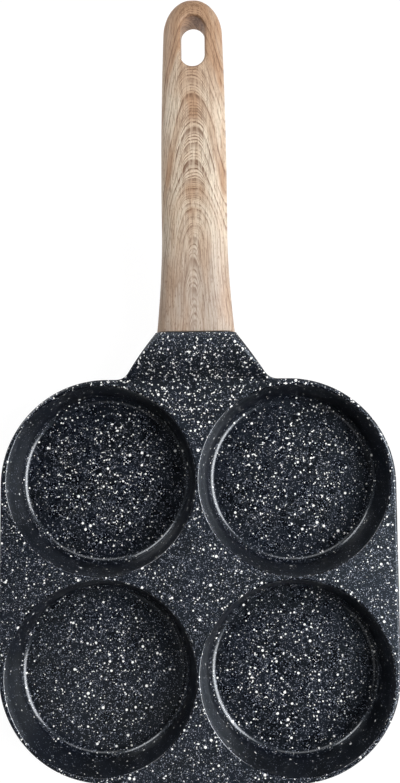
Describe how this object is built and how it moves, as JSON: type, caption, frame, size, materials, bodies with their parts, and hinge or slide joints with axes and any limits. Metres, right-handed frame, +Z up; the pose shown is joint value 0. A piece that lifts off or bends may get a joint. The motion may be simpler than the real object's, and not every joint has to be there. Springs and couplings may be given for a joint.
{
  "type": "pancake pan",
  "caption": "Square speckled non-stick cast pan with round shallow cups for pancakes or eggs, a rising neck and a wood-effect handle with a hanging slot.",
  "frame": {"origin": "on the surface the pan stands on, under the middle of its overall length and width", "axes": "+Z up out of the cups, +Y along the handle towards its hanging end, +X to the right seen from the front edge"},
  "size_m": [0.1946, 0.3764, 0.053],
  "materials": {
    "speckled_coating": "satin",
    "wood_effect": "satin",
    "disc_steel": "satin",
    "screw_steel": "satin",
    "spring_steel": "satin",
    "washer_steel": "satin"
  },
  "bodies": {
    "root": {"pan_body": "speckled_coating", "handle": "wood_effect", "induction_disc_front_left": "disc_steel", "induction_disc_front_right": "disc_steel", "induction_disc_rear_left": "disc_steel", "induction_disc_rear_right": "disc_steel", "handle_screw": "screw_steel", "spring_washer": "spring_steel", "flat_washer": "washer_steel"}
  },
  "joints": []
}
